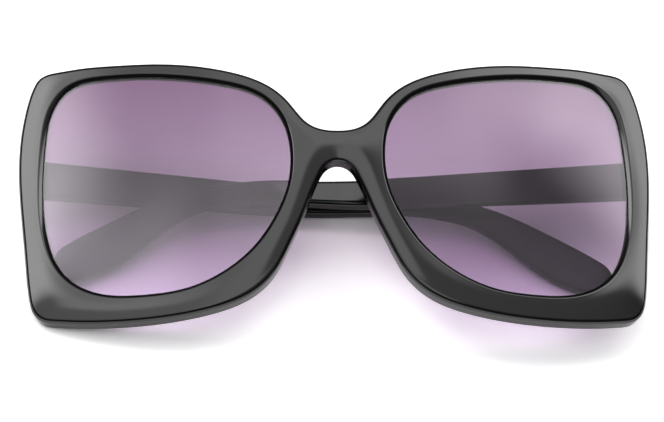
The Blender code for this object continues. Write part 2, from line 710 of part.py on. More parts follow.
def lie_down():
    """Turn and lower the stand, so that the glasses lie still on their back at z = 0."""
    graph = bpy.context.evaluated_depsgraph_get()
    bm = bmesh.new()
    weights, centres = [], []
    for piece in [found for found in parts.objects if found.type == "MESH"]:
        one = bmesh.new()
        one.from_object(piece, graph)
        one.transform(piece.matrix_world)
        bmesh.ops.triangulate(one, faces=one.faces)
        corners = np.array([[vertex.co for vertex in face.verts] for face in one.faces])
        volumes = np.linalg.det(corners) / 6
        weights.append(volumes.sum())
        centres.append((corners.sum(axis=1) * volumes[:, None] / 4).sum(axis=0))
        for vertex in one.verts:
            bm.verts.new(vertex.co)
        one.free()
    centre = Vector(np.sum(centres, axis=0) / np.sum(weights))
    bmesh.ops.convex_hull(bm, input=bm.verts)
    found = []
    for face in bm.faces:
        corners = [vertex.co for vertex in face.verts]
        if intersect_point_tri(centre, *corners[:3]):
            found.append(face.normal.copy())
    down = max(found, key=lambda normal: normal.y)
    up = -down
    across = (Vector((1.0, 0.0, 0.0)) - up * up.x).normalized()
    turn = Matrix((across, up.cross(across), up))
    places = np.array([turn @ vertex.co for vertex in bm.verts])
    bm.free()
    low, high = places.min(axis=0), places.max(axis=0)
    middle = (low + high) / 2
    stand.matrix_world = Matrix.Translation((-middle[0], -middle[1], -low[2])) @ turn.to_4x4()


for old in list(bpy.data.objects):
    bpy.data.objects.remove(old)

parts = collection("square_sunglasses")
guides = collection("guides")
black = material("black_acetate", (0.012, 0.012, 0.014), 0.12)
tinted = material("tinted_lens", (0.36, 0.22, 0.36), 0.03, transmission=0.7)
clear = material("pad_acetate", (0.03, 0.03, 0.034), 0.2)
steel = material("hinge_steel", (0.55, 0.55, 0.57), 0.3, metallic=1.0)
stand = bpy.data.objects.new("stand", None)
parts.objects.link(stand)
build_front()
build_temple(1)
build_temple(-1)
bpy.context.view_layer.update()
lie_down()
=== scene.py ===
"""Square sunglasses, folded and lying on a pale table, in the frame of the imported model."""

import math

import bmesh
import bpy
import numpy as np
from mathutils import Matrix


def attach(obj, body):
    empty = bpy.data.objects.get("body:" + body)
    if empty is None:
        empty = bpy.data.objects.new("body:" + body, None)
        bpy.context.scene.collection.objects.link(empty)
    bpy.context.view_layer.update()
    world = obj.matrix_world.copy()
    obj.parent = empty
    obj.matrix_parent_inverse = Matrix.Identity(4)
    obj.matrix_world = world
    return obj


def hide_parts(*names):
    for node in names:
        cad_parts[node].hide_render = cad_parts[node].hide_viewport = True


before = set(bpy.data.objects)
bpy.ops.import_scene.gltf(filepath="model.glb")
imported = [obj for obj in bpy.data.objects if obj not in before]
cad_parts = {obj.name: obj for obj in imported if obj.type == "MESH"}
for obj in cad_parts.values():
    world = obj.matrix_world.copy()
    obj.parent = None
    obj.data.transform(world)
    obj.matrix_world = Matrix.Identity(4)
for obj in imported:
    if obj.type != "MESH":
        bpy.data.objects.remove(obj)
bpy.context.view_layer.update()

# The front is cut from a thick sheet of black cellulose acetate, bent to a wide curve, and then
# tumbled and polished until it is glossy. Each rim has a groove inside, and the lens is
# snapped into it. The outer edges are rounded, and those beside the lens roll into a bevel.

LENS_WIDTH = 0.0601
LENS_HEIGHT = 0.0587
BRIDGE_WIDTH = 0.0208
RIM_SIDE = 0.0054
RIM_TOP = 0.0032
RIM_BOTTOM = 0.006
FRONT_THICKNESS = 0.0048
WRAP_RADIUS = 0.288
OUTER_EDGE_FALL = 0.0008
LENS_EDGE_FALL = 0.0004
EDGE_FALL_WIDTH = 0.0025
OUTER_EDGE_RADIUS = 0.0012
BACK_EDGE_RADIUS = 0.0007
GROOVE_LIP = 0.0007
GROOVE_DEPTH = 0.0009
GROOVE_SETBACK = 0.0026
LENS_THICKNESS = 0.0018
LENS_CLEARANCE = 0.0001

# From the groove's lip up the bevel to the face, in millimetres: out from the opening, and deep
LENS_EDGE_PROFILE = np.array([
    (-0.7, 0.7), (-0.65, 0.62), (-0.52, 0.5), (-0.35, 0.355), (-0.15, 0.2), (0.0, 0.09),
    (0.15, 0.025), (0.3, 0.0),
]) / 1000

# The front's own axes as columns: across, back towards the wearer, and up; and its place
FRONT_AXES = np.array([
    (0.99863279, 0.04988901, -0.01560998),
    (0.0, 0.2986176, 0.95437282),
    (0.05227413, -0.95306802, 0.29820931),
])
FRONT_PLACE = np.array([-0.00047088, -0.00110669, 0.02550783])

# Lens opening, as shares of half its width and half its height from its centre
LENS_OUTLINE_SHARES = [
    (1.0, 0.18), (0.984, 0.49), (0.911, 0.796), (0.768, 0.952), (0.5, 1.0), (0.169, 0.991),
    (-0.162, 0.949), (-0.489, 0.878), (-0.76, 0.76), (-0.925, 0.556), (-0.997, 0.25),
    (-0.97, -0.08), (-0.877, -0.333), (-0.704, -0.612), (-0.462, -0.828), (-0.165, -0.963),
    (0.169, -1.0), (0.44, -0.98), (0.66, -0.893), (0.83, -0.726), (0.938, -0.48), (0.99, -0.18),
]

# Right half of the outline from the top of the bridge round to the nose arch, as shares of
# the half width and of the height above or below the lens centres
FRONT_OUTLINE_SHARES = [
    (0.0, 0.382), (0.049, 0.395), (0.087, 0.44), (0.118, 0.522), (0.154, 0.64), (0.199, 0.742),
    (0.273, 0.839), (0.348, 0.898), (0.459, 0.955), (0.574, 0.986), (0.702, 0.998),
    (0.8, 1.0), (0.878, 0.987), (0.919, 0.972), (0.942, 0.94), (0.96, 0.869), (0.98, 0.71),
    (0.995, 0.494), (1.0, 0.223), (0.995, 0.0), (0.986, -0.2), (0.971, -0.501),
    (0.955, -0.777), (0.937, -0.888), (0.909, -0.938), (0.876, -0.957), (0.81, -0.978),
    (0.662, -0.998), (0.513, -0.983), (0.392, -0.938), (0.289, -0.858), (0.239, -0.782),
    (0.2, -0.685), (0.153, -0.487), (0.108, -0.264), (0.078, -0.092), (0.059, 0.006),
    (0.041, 0.08), (0.022, 0.115), (0.0, 0.127),
]

# Where the sections aim, in from the outline, and where the cut through the bridge ends
SECTION_AIM = 0.0036
BRIDGE_CUT_INSET = 1.3 * OUTER_EDGE_RADIUS

# Points round the front, and across each of its sections
BEND_SPACING = 0.02
CURVE_OVERLAP = 4
CURVE_SAMPLES = 1600
FALL_BATCHES = 16
OUTLINE_STEPS = 420
BRIDGE_STEPS = 16
LENS_EDGE_STEPS = 28
FACE_STEPS = 28
OUTER_EDGE_STEPS = 12
WALL_STEPS = 5
BACK_EDGE_STEPS = 6
BACK_STEPS = 9
WELD_DISTANCE = 1e-7
SHARP_ANGLE = 40

half_front = BRIDGE_WIDTH / 2 + LENS_WIDTH + RIM_SIDE
front_top = LENS_HEIGHT / 2 + RIM_TOP
front_bottom = LENS_HEIGHT / 2 + RIM_BOTTOM
lens_centre = np.array([BRIDGE_WIDTH / 2 + LENS_WIDTH / 2, 0.0])


def spline(knots, values, at):
    """The natural cubic spline through values at knots, read at the places in at: a cubic on
    each step whose second derivatives, the bends, come from one set of linear equations."""
    step = np.diff(knots)
    slope = np.diff(values, axis=0) / step[:, None]
    middle = np.arange(1, len(knots) - 1)
    matrix = np.eye(len(knots))
    matrix[middle, middle - 1] = step[:-1]
    matrix[middle, middle] = 2 * (step[:-1] + step[1:])
    matrix[middle, middle + 1] = step[1:]
    right = np.zeros_like(values)
    right[1:-1] = 6 * np.diff(slope, axis=0)
    bend = np.linalg.solve(matrix, right)
    i = np.clip(np.searchsorted(knots, at) - 1, 0, len(step) - 1)
    gap = step[i, None]
    after = (np.asarray(at) - knots[i])[:, None] / gap
    before = 1 - after
    curve = (before**3 - before) * bend[i] + (after**3 - after) * bend[i + 1]
    return before * values[i] + after * values[i + 1] + curve * gap**2 / 6


def lengths_along(points):
    """The distance along the points up to each of them: the sum of the steps before it."""
    return np.concatenate([[0.0], np.cumsum(np.linalg.norm(np.diff(points, axis=0), axis=1))])


def closed_curve(points, count):
    """count points on a smooth closed curve. A step's length plus BEND_SPACING times its turn
    is the same for all of them, so they stand closer in the bends."""
    ring = np.concatenate([points[-CURVE_OVERLAP:], points, points[: CURVE_OVERLAP + 1]])
    knots = lengths_along(ring)
    first, last = knots[CURVE_OVERLAP], knots[-1 - CURVE_OVERLAP]
    dense = spline(knots, ring, np.linspace(first, last, CURVE_SAMPLES))
    headings = np.unwrap(np.arctan2(*np.diff(dense, axis=0).T[::-1]))
    bends = np.abs(np.diff(headings, prepend=headings[0], append=headings[-1]))
    along = lengths_along(dense) + BEND_SPACING * np.cumsum(bends)
    wanted = np.linspace(0.0, along[-1], count + 1)[:-1]
    return np.column_stack([np.interp(wanted, along, column) for column in dense.T])


def outward_normals(loop, inside):
    """Unit normals of a closed loop: each point's neighbours' difference, turned square."""
    along = np.roll(loop, -1, axis=0) - np.roll(loop, 1, axis=0)
    normals = np.column_stack([along[:, 1], -along[:, 0]])
    normals /= np.linalg.norm(normals, axis=1)[:, None]
    return normals * np.sign(((loop - inside) * normals).sum())


def lens_loop(count):
    """The right lens opening as a closed curve through its shares."""
    half_size = np.array([LENS_WIDTH, LENS_HEIGHT]) / 2
    return closed_curve(lens_centre + np.array(LENS_OUTLINE_SHARES) * half_size, count)


def outline_loop(count):
    """The front's whole outline: the right half's shares, then their mirror image."""
    shares = np.array(FRONT_OUTLINE_SHARES)
    height = np.where(shares[:, 1] > 0, front_top, front_bottom)
    half = np.column_stack([shares[:, 0] * half_front, shares[:, 1] * height])
    return closed_curve(np.concatenate([half, half[-2:0:-1] * [-1, 1]]), count)


def face_fall(points):
    """How far the face falls back towards its edges: for the outline and both lens openings,
    their fall times exp(-distance / width), summed along them over twice the width."""
    lens = lens_loop(CURVE_SAMPLES)
    edges = (
        (outline_loop(CURVE_SAMPLES), OUTER_EDGE_FALL),
        (lens, LENS_EDGE_FALL),
        (lens * [-1, 1], LENS_EDGE_FALL),
    )
    places = points @ [1, 1j]
    total = np.zeros(places.shape)
    for edge, fall in edges:
        spots = edge @ [1, 1j]
        steps = np.abs(np.roll(edge, -1, axis=0) @ [1, 1j] - spots)
        for some, lengths in zip(
            spots.reshape(FALL_BATCHES, -1), steps.reshape(FALL_BATCHES, -1),
        ):
            apart = np.abs(places[..., None] - some)
            total += fall * np.exp(-apart / EDGE_FALL_WIDTH) @ lengths
    return total / (2 * EDGE_FALL_WIDTH)


def wrapped(flat, depth):
    """Places on the curved front: x runs round a cylinder of the wrap's radius, z is kept, and
    depth goes in from the cylinder's face. The front's axes then carry them to the model."""
    angle = flat[..., 0] / WRAP_RADIUS
    radius = WRAP_RADIUS - depth
    across, back = radius * np.sin(angle), WRAP_RADIUS - radius * np.cos(angle)
    return np.stack([across, back, flat[..., 1]], -1) @ FRONT_AXES.T + FRONT_PLACE


def grid_faces(keep):
    """The four corners of each face of a grid closed both ways, where keep is true."""
    index = np.arange(keep.size).reshape(keep.shape)
    right, below = np.roll(index, -1, 1), np.roll(index, -1, 0)
    return np.stack([index, right, np.roll(below, -1, 1), below], -1)[keep]


def surface(name, points, quads, body):
    """A smooth piece of the model from points and faces of four corners: doubles merged,
    normals turned out, and edges that turn more than SHARP_ANGLE degrees kept crisp."""
    mesh = bpy.data.meshes.new(name)
    mesh.vertices.add(len(points))
    mesh.vertices.foreach_set("co", points.astype(np.float32).ravel())
    mesh.loops.add(quads.size)
    mesh.loops.foreach_set("vertex_index", quads.astype(np.int32).ravel())
    mesh.polygons.add(len(quads))
    mesh.polygons.foreach_set("loop_start", np.arange(0, quads.size, 4, dtype=np.int32))
    mesh.update(calc_edges=True)
    bm = bmesh.new()
    bm.from_mesh(mesh)
    bmesh.ops.delete(bm, geom=[v for v in bm.verts if not v.link_faces], context="VERTS")
    bmesh.ops.remove_doubles(bm, verts=bm.verts, dist=WELD_DISTANCE)
    bmesh.ops.recalc_face_normals(bm, faces=bm.faces)
    bm.to_mesh(mesh)
    bm.free()
    mesh.shade_smooth()
    mesh.set_sharp_from_angle(angle=math.radians(SHARP_ANGLE))
    piece = bpy.data.objects.new(name, mesh)
    bpy.context.scene.collection.objects.link(piece)
    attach(piece, body)
    return piece


def arc(steps):
    """A quarter circle of radius 1 that starts off level: 1 - cos and sin of even angles."""
    turn = np.linspace(0.0, math.pi / 2, steps + 1)[:, None]
    return 1 - np.cos(turn), np.sin(turn)


def front_grid():
    """Sections carried round the right lens opening, from its edge, near, to the outline, far.
    Each is a run of columns: the bevel is a spline through its profile, the face, the wall and
    the back are straight, the outer and back edges are quarter circles, and the groove is a
    square notch. A near point lies towards the place that is SECTION_AIM in from its far one."""
    whole = outline_loop(2 * OUTLINE_STEPS)
    whole_normals = outward_normals(whole, np.zeros(2))
    outline, away = whole[: OUTLINE_STEPS + 1], whole_normals[: OUTLINE_STEPS + 1]
    outline[[0, -1], 0] = 0.0
    away[0], away[-1] = (0.0, 1.0), (0.0, -1.0)
    inset = np.array([0.0, BRIDGE_CUT_INSET])
    cut = np.linspace(outline[-1] + inset, outline[0] - inset, BRIDGE_STEPS)
    aim = outline - away * SECTION_AIM
    aim = np.concatenate([aim, np.linspace(aim[-1], aim[0], BRIDGE_STEPS + 2)[1:-1]])
    far = np.concatenate([outline, cut])
    away = np.concatenate([away, np.zeros_like(cut)])
    angles = np.minimum.accumulate(np.unwrap(np.arctan2(*(aim - lens_centre).T[::-1])))
    loop = lens_loop(CURVE_SAMPLES)
    own = np.arctan2(*(loop - lens_centre).T[::-1])
    table = np.hstack([loop, outward_normals(loop, lens_centre)])
    found = np.column_stack([np.interp(angles, own, c, period=2 * math.pi) for c in table.T])
    near, out = found[:, None, :2], found[:, None, 2:]
    far, away = far[:, None], away[:, None]

    start, end = near + out * LENS_EDGE_PROFILE[-1, 0], far - away * OUTER_EDGE_RADIUS
    face = start + (end - start) * np.linspace(0.0, 1.0, FACE_STEPS + 1)[:, None]
    fall = face_fall(face)
    knots = np.arange(len(LENS_EDGE_PROFILE))
    places = np.linspace(0, knots[-1], LENS_EDGE_STEPS + 1)[:-1]
    offset, deep = spline(knots, LENS_EDGE_PROFILE, places).T
    lens_edge = near + out * offset[:, None]
    lens_edge_depth = fall[:, :1] + deep
    rise, run = arc(OUTER_EDGE_STEPS)
    outer_edge = end + away * OUTER_EDGE_RADIUS * run[1:]
    outer_edge_depth = fall[:, -1:] + OUTER_EDGE_RADIUS * rise[1:, 0]
    rise, run = arc(BACK_EDGE_STEPS)
    low = FRONT_THICKNESS - BACK_EDGE_RADIUS
    wall_share = np.linspace(0.0, 1.0, WALL_STEPS + 1)[1:-1]
    wall = far + 0 * wall_share[:, None]
    wall_depth = outer_edge_depth[:, -1:] + (low - outer_edge_depth[:, -1:]) * wall_share
    outer_back = far - away * BACK_EDGE_RADIUS * rise
    inner_back = near + out * BACK_EDGE_RADIUS * rise[::-1]
    back_share = np.linspace(0.0, 1.0, BACK_STEPS + 1)[1:-1, None]
    back = outer_back[:, -1:] + (inner_back[:, :1] - outer_back[:, -1:]) * back_share
    groove = near + out * (
        np.array([0.0, 1.0, 1.0, 0.0])[:, None] * GROOVE_DEPTH - GROOVE_LIP
    )
    half = LENS_THICKNESS / 2 + LENS_CLEARANCE
    columns = (
        (lens_edge, lens_edge_depth),
        (face, fall),
        (outer_edge, outer_edge_depth),
        (wall, wall_depth),
        (outer_back, low + BACK_EDGE_RADIUS * run[:, 0]),
        (back, np.full(len(back_share), FRONT_THICKNESS)),
        (inner_back, low + BACK_EDGE_RADIUS * run[::-1, 0]),
        (groove, GROOVE_SETBACK + half * np.array([1, 1, -1, -1])),
    )
    flat = np.concatenate([places for places, _ in columns], axis=1)
    depth = np.concatenate([d + np.zeros(p.shape[:2]) for p, d in columns], axis=1)

    # The right half and the left half are open to each other along the cut
    keep = np.ones(depth.shape, bool)
    first_wall = lens_edge.shape[1] + face.shape[1] - 1
    last_wall = first_wall + outer_edge.shape[1] + wall.shape[1] + outer_back.shape[1]
    keep[OUTLINE_STEPS:, first_wall:last_wall] = False
    return flat, depth, keep


front_flat, front_depth, front_keep = front_grid()
right_half = grid_faces(front_keep)
left_half = right_half[:, ::-1] + front_keep.size
front_points = np.concatenate([
    wrapped(front_flat, front_depth).reshape(-1, 3),
    wrapped(front_flat * [-1, 1], front_depth).reshape(-1, 3),
])
front = surface(
    "front", front_points, np.concatenate([right_half, left_half]), "front",
)
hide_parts("front_frame")


def colour(text):
    """An sRGB hex value as linear red, green, blue and 1 for alpha."""
    parts = np.array([int(text[i : i + 2], 16) for i in (1, 3, 5)]) / 255
    low, high = parts / 12.92, ((parts + 0.055) / 1.055) ** 2.4
    return (*np.where(parts <= 0.04045, low, high), 1.0)


def add(tree, kind, settings=(), **links):
    """A node of this kind with its settings, and with sockets set to values or linked. An
    underscore in a socket's name stands for a space, and a number after in_ for its place."""
    node = tree.nodes.new(kind)
    for name, value in dict(settings).items():
        setattr(node, name, value)
    for name, value in links.items():
        key = int(name[3:]) if name.startswith("in_") else name.replace("_", " ")
        if isinstance(value, bpy.types.NodeSocket):
            tree.links.new(value, node.inputs[key])
        else:
            node.inputs[key].default_value = value
    return node


def new_material(name):
    """An empty material, its node tree and its output node."""
    made = bpy.data.materials.new(name)
    made.use_nodes = True
    made.node_tree.nodes.clear()
    return made, made.node_tree, add(made.node_tree, "ShaderNodeOutputMaterial")


def polished_acetate(name, base, haze, cloud_size, ripple_size, ripple_height):
    """Cellulose acetate, tumbled and polished: nearly a mirror, whose black is a little warm.
    Its haze grows by up to a third in clouds, and the buffing leaves low ripples."""
    made, tree, output = new_material(name)
    place = add(tree, "ShaderNodeTexCoord").outputs["Object"]
    cloud = add(tree, "ShaderNodeTexNoise", Vector=place, Scale=1 / cloud_size, Detail=3.0)
    rough = add(
        tree, "ShaderNodeMapRange", Value=cloud.outputs["Fac"],
        From_Min=0.3, From_Max=0.7, To_Min=haze, To_Max=haze * 1.3,
    )
    wave = add(tree, "ShaderNodeTexNoise", Vector=place, Scale=1 / ripple_size, Detail=1.0)
    bump = add(
        tree, "ShaderNodeBump", Height=wave.outputs["Fac"], Strength=1.0,
        Distance=ripple_height,
    )
    shader = add(
        tree, "ShaderNodeBsdfPrincipled", Base_Color=colour(base), IOR=1.49,
        Roughness=rough.outputs["Result"], Normal=bump.outputs["Normal"],
    )
    tree.links.new(shader.outputs[0], output.inputs["Surface"])
    return made


black_acetate = polished_acetate(
    "polished_black_acetate", "#0b0a0a", haze=0.078,
    cloud_size=0.012, ripple_size=0.006, ripple_height=0.000004,
)
front.data.materials.append(black_acetate)

# The lenses are cast from clear plastic 1.8 mm thick, slightly domed, and dyed plum from the
# top: the dye fades until the bottom is nearly clear. They are hard-coated and shine on both
# sides, and each one's edge sits 0.7 mm deep in its rim's groove.

LENS_BULGE = 0.0006
LENS_EDGE_CLEARANCE = 0.0002
LENS_STEPS = 300
LENS_RINGS = 40


def lens_grid():
    """The right lens: rings scaled from its edge to its centre, whose face stands forward by
    the bulge times 1 - share squared, first over the front and then back over the rear."""
    edge = lens_loop(LENS_STEPS)
    reach = GROOVE_DEPTH - LENS_EDGE_CLEARANCE - GROOVE_LIP
    edge = edge + outward_normals(edge, lens_centre) * reach
    share = np.linspace(0.0, 1.0, LENS_RINGS + 1)
    share = np.concatenate([share, share[::-1]])[:, None]
    side = np.repeat([-1.0, 1.0], LENS_RINGS + 1)[:, None]
    flat = lens_centre + (edge - lens_centre) * share[:, :, None]
    depth = GROOVE_SETBACK + side * LENS_THICKNESS / 2 - LENS_BULGE * (1 - share**2)
    return flat, np.broadcast_to(depth, flat.shape[:2])


def ringed_surface(name, rings, body):
    """A piece from a grid whose rows are closed rings, joined each to the next. The first row
    and the last are each one point many times over, so both ends close."""
    keep = np.ones(rings.shape[:2], bool)
    keep[-1] = False
    return surface(name, rings.reshape(-1, 3), grid_faces(keep), body)


def dyed_lens(name, top, middle, bottom):
    """Cast lens plastic, clear and polished, dyed by dipping: the colour runs evenly from
    plum at the top to a breath of pink at the bottom. A lamp's light goes straight through,
    and each of the lens's two sides gives it the square root of the colour."""
    made, tree, output = new_material(name)
    place = add(tree, "ShaderNodeTexCoord").outputs["Object"]
    turned = Matrix(FRONT_AXES).to_euler()
    level = add(
        tree, "ShaderNodeMapping", {"vector_type": "TEXTURE"},
        Vector=place, Location=FRONT_PLACE, Rotation=turned,
    )
    height = add(tree, "ShaderNodeSeparateXYZ", Vector=level.outputs[0]).outputs["Z"]
    share = add(
        tree, "ShaderNodeMapRange", Value=height,
        From_Min=-LENS_HEIGHT / 2, From_Max=LENS_HEIGHT / 2,
    )
    ramp = add(tree, "ShaderNodeValToRGB", Fac=share.outputs["Result"])
    ramp.color_ramp.interpolation = "B_SPLINE"
    stops = ramp.color_ramp.elements
    stops[0].position, stops[0].color = 0.0, colour(bottom)
    stops[1].position, stops[1].color = 1.0, colour(top)
    stops.new(0.5).color = colour(middle)
    glass = add(
        tree, "ShaderNodeBsdfPrincipled", Base_Color=ramp.outputs["Color"], IOR=1.5,
        Roughness=0.0, Transmission_Weight=1.0,
    )
    once = add(tree, "ShaderNodeGamma", Color=ramp.outputs["Color"], Gamma=0.5)
    clear = add(tree, "ShaderNodeBsdfTransparent", Color=once.outputs[0])
    lamp = add(tree, "ShaderNodeLightPath").outputs["Is Shadow Ray"]
    both = add(
        tree, "ShaderNodeMixShader", in_0=lamp, in_1=glass.outputs[0], in_2=clear.outputs[0],
    )
    tree.links.new(both.outputs[0], output.inputs["Surface"])
    return made


lens_flat, lens_depth = lens_grid()
lens_material = dyed_lens(
    "dyed_lens_plastic", top="#593b59", middle="#8f7392", bottom="#d8cade",
)
for side, sign in (("right", 1), ("left", -1)):
    places = wrapped(lens_flat * [sign, 1], lens_depth)
    lens = ringed_surface(f"lens_{side}_piece", places, "front")
    lens.data.materials.append(lens_material)
    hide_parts(f"lens_{side}")

# The nose pads are glued to the back of the front beside the nose. Each is half of a long
# ellipsoid of the same black acetate, and leans the way that the side of a nose does.

PAD_LENGTH = 0.015
PAD_WIDTH = 0.0046
PAD_REACH = 0.0042
PAD_INSET = 0.0005
PAD_BELOW_CENTRE = 0.0166
PAD_LEAN = 22.5
GLUE_GAP = 0.0001
PAD_OUTLINE_STEPS = 76
PAD_RINGS = 24
PAD_BACK_RINGS = 5
PAD_SEGMENTS = 64


def turned_by(angle, a, b):
    """Two coordinates turned from the first towards the second: a cos - b sin, a sin + b cos."""
    return a * math.cos(angle) - b * math.sin(angle), a * math.sin(angle) + b * math.cos(angle)


def pad_grid(sign):
    """Half an ellipsoid: circles whose radius is the sine and whose reach is the cosine of the
    angle from its tip, then a flat back drawn in to its centre, and all of it leaned."""
    whole = outline_loop(2 * PAD_OUTLINE_STEPS)
    normals = outward_normals(whole, np.zeros(2))
    outline, normals = whole[: PAD_OUTLINE_STEPS + 1], normals[: PAD_OUTLINE_STEPS + 1]
    lowest = np.argmin(outline[:, 1])
    level = lowest + np.argmin(np.abs(outline[lowest:, 1] + PAD_BELOW_CENTRE))
    middle = outline[level] - normals[level] * (PAD_WIDTH / 2 + PAD_INSET)
    down = np.linspace(0.0, math.pi / 2, PAD_RINGS + 1)
    inwards = np.linspace(1.0, 0.0, PAD_BACK_RINGS + 1)[1:]
    radius = np.concatenate([np.sin(down), inwards])[:, None]
    reach = np.concatenate([np.cos(down), np.zeros(PAD_BACK_RINGS)])[:, None]
    turn = np.linspace(0.0, 2 * math.pi, PAD_SEGMENTS + 1)[:-1]
    x, z = radius * np.cos(turn) * PAD_WIDTH / 2, radius * np.sin(turn) * PAD_LENGTH / 2
    y = reach * PAD_REACH + 0 * turn
    x, z = turned_by(math.radians(PAD_LEAN), x, z)
    wrap = middle[0] / WRAP_RADIUS
    x, y = turned_by(wrap, x, y)
    behind = FRONT_THICKNESS + GLUE_GAP
    x = x + (WRAP_RADIUS - behind) * math.sin(wrap)
    y = y + WRAP_RADIUS - (WRAP_RADIUS - behind) * math.cos(wrap)
    return np.stack([x * sign, y, z + middle[1]], -1) @ FRONT_AXES.T + FRONT_PLACE


for side, sign in (("right", 1), ("left", -1)):
    pad = ringed_surface(f"nose_pad_{side}_piece", pad_grid(sign), "front")
    pad.data.materials.append(black_acetate)
    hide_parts(f"nose_pad_{side}")

# The hinges are stamped from steel: leaves with rolled knuckles, held by a slotted screw. One
# leaf is sunk in the back of the front and the other in the temple's end. A steel wire core
# runs on inside each temple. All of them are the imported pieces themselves.


def stamped_steel(name, base, mark_size, mark_depth):
    """Plain stamped steel, tumbled: a dull grey metal whose fine short marks blur its shine."""
    made, tree, output = new_material(name)
    place = add(tree, "ShaderNodeTexCoord").outputs["Object"]
    marks = add(tree, "ShaderNodeTexNoise", Vector=place, Scale=1 / mark_size, Detail=4.0)
    rough = add(
        tree, "ShaderNodeMapRange", Value=marks.outputs["Fac"],
        From_Min=0.3, From_Max=0.7, To_Min=0.22, To_Max=0.4,
    )
    bump = add(
        tree, "ShaderNodeBump", Height=marks.outputs["Fac"], Strength=0.4, Distance=mark_depth,
    )
    shader = add(
        tree, "ShaderNodeBsdfPrincipled", Base_Color=colour(base), Metallic=1.0,
        Roughness=rough.outputs["Result"], Normal=bump.outputs["Normal"],
    )
    tree.links.new(shader.outputs[0], output.inputs["Surface"])
    return made


steel = stamped_steel("stamped_hinge_steel", "#c9c8c6", mark_size=0.0003, mark_depth=0.00002)
for name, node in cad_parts.items():
    if "hinge" in name or "core" in name:
        node.data.materials.clear()
        node.data.materials.append(steel)

# The temples are strips of the same acetate with flat sides and rounded edges, bowed to the
# head and dropped behind the ears to a broad tip. A hinge leaf is sunk in the butt of each.

TEMPLE_REACH = 0.135
TEMPLE_HEIGHT = 0.0093
TEMPLE_THICKNESS = 0.0038
TEMPLE_BOW = 0.0083
TEMPLE_DROP = 0.0246
TEMPLE_EDGE_RADIUS = 0.0012
TEMPLE_PAST_AXIS = 0.0011
TIP_THICKNESS_SHARE = 0.4
BARREL_REACH = 0.00122
BUTT_EDGE_RADIUS = 0.0002
TEMPLE_STEPS = 260
TIP_STEPS = 20
BUTT_EDGE_STEPS = 4
CORNER_STEPS = 8
SLOPE_STEP = 1e-4

# How the folded temples stand: tilted in degrees, turned past square, and their pins' places
PANTOSCOPIC_TILT = 3.0
FOLD_TURNS = {"right": 1.7, "left": 1.7053}
PIN_PLACES = {
    "right": (0.07097528, 0.00939425, 0.01643186), "left": (-0.070579, 0.00939425, 0.0090221),
}

# From the butt to the tip, as shares of its reach, bow, drop, height and thickness
TEMPLE_SHARES = [
    (0.0, 0.0, 0.0, 1.006, 1.0), (0.05, 0.117, 0.0, 0.988, 0.985),
    (0.12, 0.278, 0.0, 0.963, 0.961), (0.25, 0.571, 0.0, 0.913, 0.902),
    (0.4, 0.89, 0.0, 0.834, 0.863), (0.52, 1.0, 0.0, 0.741, 0.843),
    (0.6, 0.944, -0.008, 0.673, 0.83), (0.66, 0.839, -0.04, 0.626, 0.824),
    (0.72, 0.738, -0.112, 0.605, 0.818), (0.78, 0.663, -0.229, 0.676, 0.812),
    (0.84, 0.605, -0.434, 0.896, 0.806), (0.9, 0.552, -0.68, 1.111, 0.8),
    (0.95, 0.508, -0.852, 1.083, 0.77), (1.0, 0.464, -1.0, 0.851, 0.74),
]

# Points on each straight side of a section, as shares of half its length
SIDE_SHARES = [0.94, 0.6, 0.2, -0.2, -0.6, -0.94]


def temple_path(shares):
    """Rows of x, y, z, height and thickness of a folded right temple at shares of its reach,
    from its hinge pin: a spline through the rows of shares for each of them."""
    table = np.array(TEMPLE_SHARES)
    bow, drop, height, thickness = spline(table[:, 0], table[:, 1:], shares).T
    thickness = thickness * TEMPLE_THICKNESS
    x = -shares * TEMPLE_REACH - BARREL_REACH
    y = bow * TEMPLE_BOW + thickness / 2 - TEMPLE_PAST_AXIS
    return np.column_stack([x, y, drop * TEMPLE_DROP, height * TEMPLE_HEIGHT, thickness])


def rounded_sections(thickness, height, radius):
    """Rectangles with round corners, one per row: each corner is a quarter circle, and each
    side has points close to its ends, so that it shades flat between them."""
    turn = np.linspace(0.0, math.pi / 2, CORNER_STEPS + 1)
    share = np.array(SIDE_SHARES)
    runs = []
    for quarter, (a, b) in enumerate([(1, 1), (-1, 1), (-1, -1), (1, -1)]):
        angle = turn + quarter * math.pi / 2
        corner = np.column_stack([np.cos(angle), np.sin(angle)])
        runs.append(np.column_stack([0 * angle + a, 0 * angle + b, corner]))
        ends = (share * a, 0 * share + b) if quarter % 2 == 0 else (0 * share + a, share * b)
        runs.append(np.column_stack([*ends, np.tile(corner[-1], (len(share), 1))]))
    signs_and_corners = np.concatenate(runs)
    reach = np.column_stack([thickness, height])[:, None] / 2 - radius[:, None, None]
    return reach * signs_and_corners[:, :2] + radius[:, None, None] * signs_and_corners[:, 2:]


